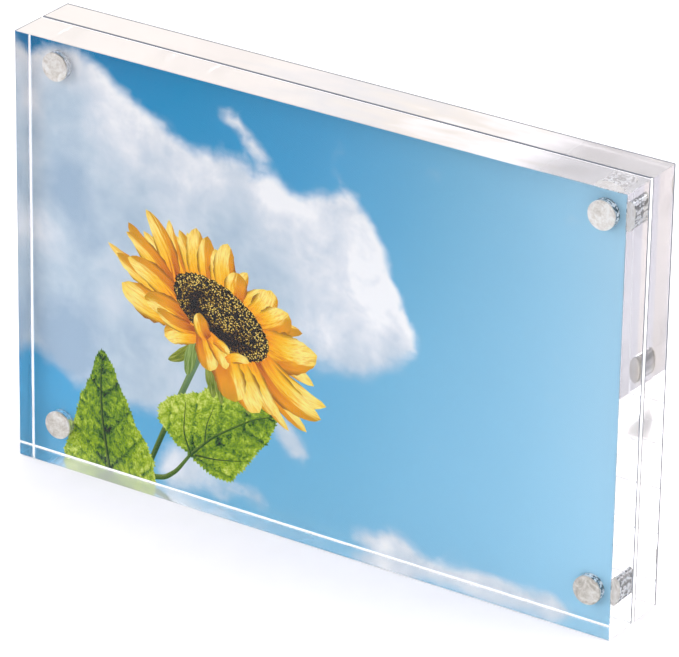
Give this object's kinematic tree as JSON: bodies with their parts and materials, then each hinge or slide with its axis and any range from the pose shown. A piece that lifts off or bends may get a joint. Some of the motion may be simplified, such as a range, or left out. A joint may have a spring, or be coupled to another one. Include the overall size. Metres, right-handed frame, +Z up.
{
  "type": "floating photo frame",
  "caption": "Free-standing clear acrylic block photo frame: thick slabs held face to face by corner disc magnets, with a full-bleed print clamped between them.",
  "frame": {"origin": "middle of the footprint, on the surface that the frame stands on", "axes": "+X to the right along the picture's width, +Y from the picture to the back, +Z up; the picture faces -Y"},
  "size_m": [0.1524, 0.0194, 0.1016],
  "materials": {
    "acrylic": "clear cast acrylic, polished on every face and edge",
    "magnet_plating": "bright nickel plate with rounded edges",
    "adhesive": "cured glue film, mottled light grey to beige",
    "photo_print": "semi-gloss photo paper with a full-bleed picture, white on the back"
  },
  "bodies": {
    "front": {"front_block": "acrylic", "magnet_front_top_left": "magnet_plating", "adhesive_front_top_left": "adhesive", "magnet_front_top_right": "magnet_plating", "adhesive_front_top_right": "adhesive", "magnet_front_bottom_left": "magnet_plating", "adhesive_front_bottom_left": "adhesive", "magnet_front_bottom_right": "magnet_plating", "adhesive_front_bottom_right": "adhesive"},
    "back": {"back_block": "acrylic", "magnet_back_top_left": "magnet_plating", "adhesive_back_top_left": "adhesive", "magnet_back_top_right": "magnet_plating", "adhesive_back_top_right": "adhesive", "magnet_back_bottom_left": "magnet_plating", "adhesive_back_bottom_left": "adhesive", "magnet_back_bottom_right": "magnet_plating", "adhesive_back_bottom_right": "adhesive"},
    "print": {"picture_print": "photo_print"}
  },
  "joints": [
    {"name": "front_pull", "type": "slide", "parent": "back", "child": "front", "axis": [0, -1, 0], "range_m": [0, 0.06]},
    {"name": "print_lift", "type": "slide", "parent": "back", "child": "print", "axis": [0, 0, 1], "range_m": [0, 0.11]}
  ]
}
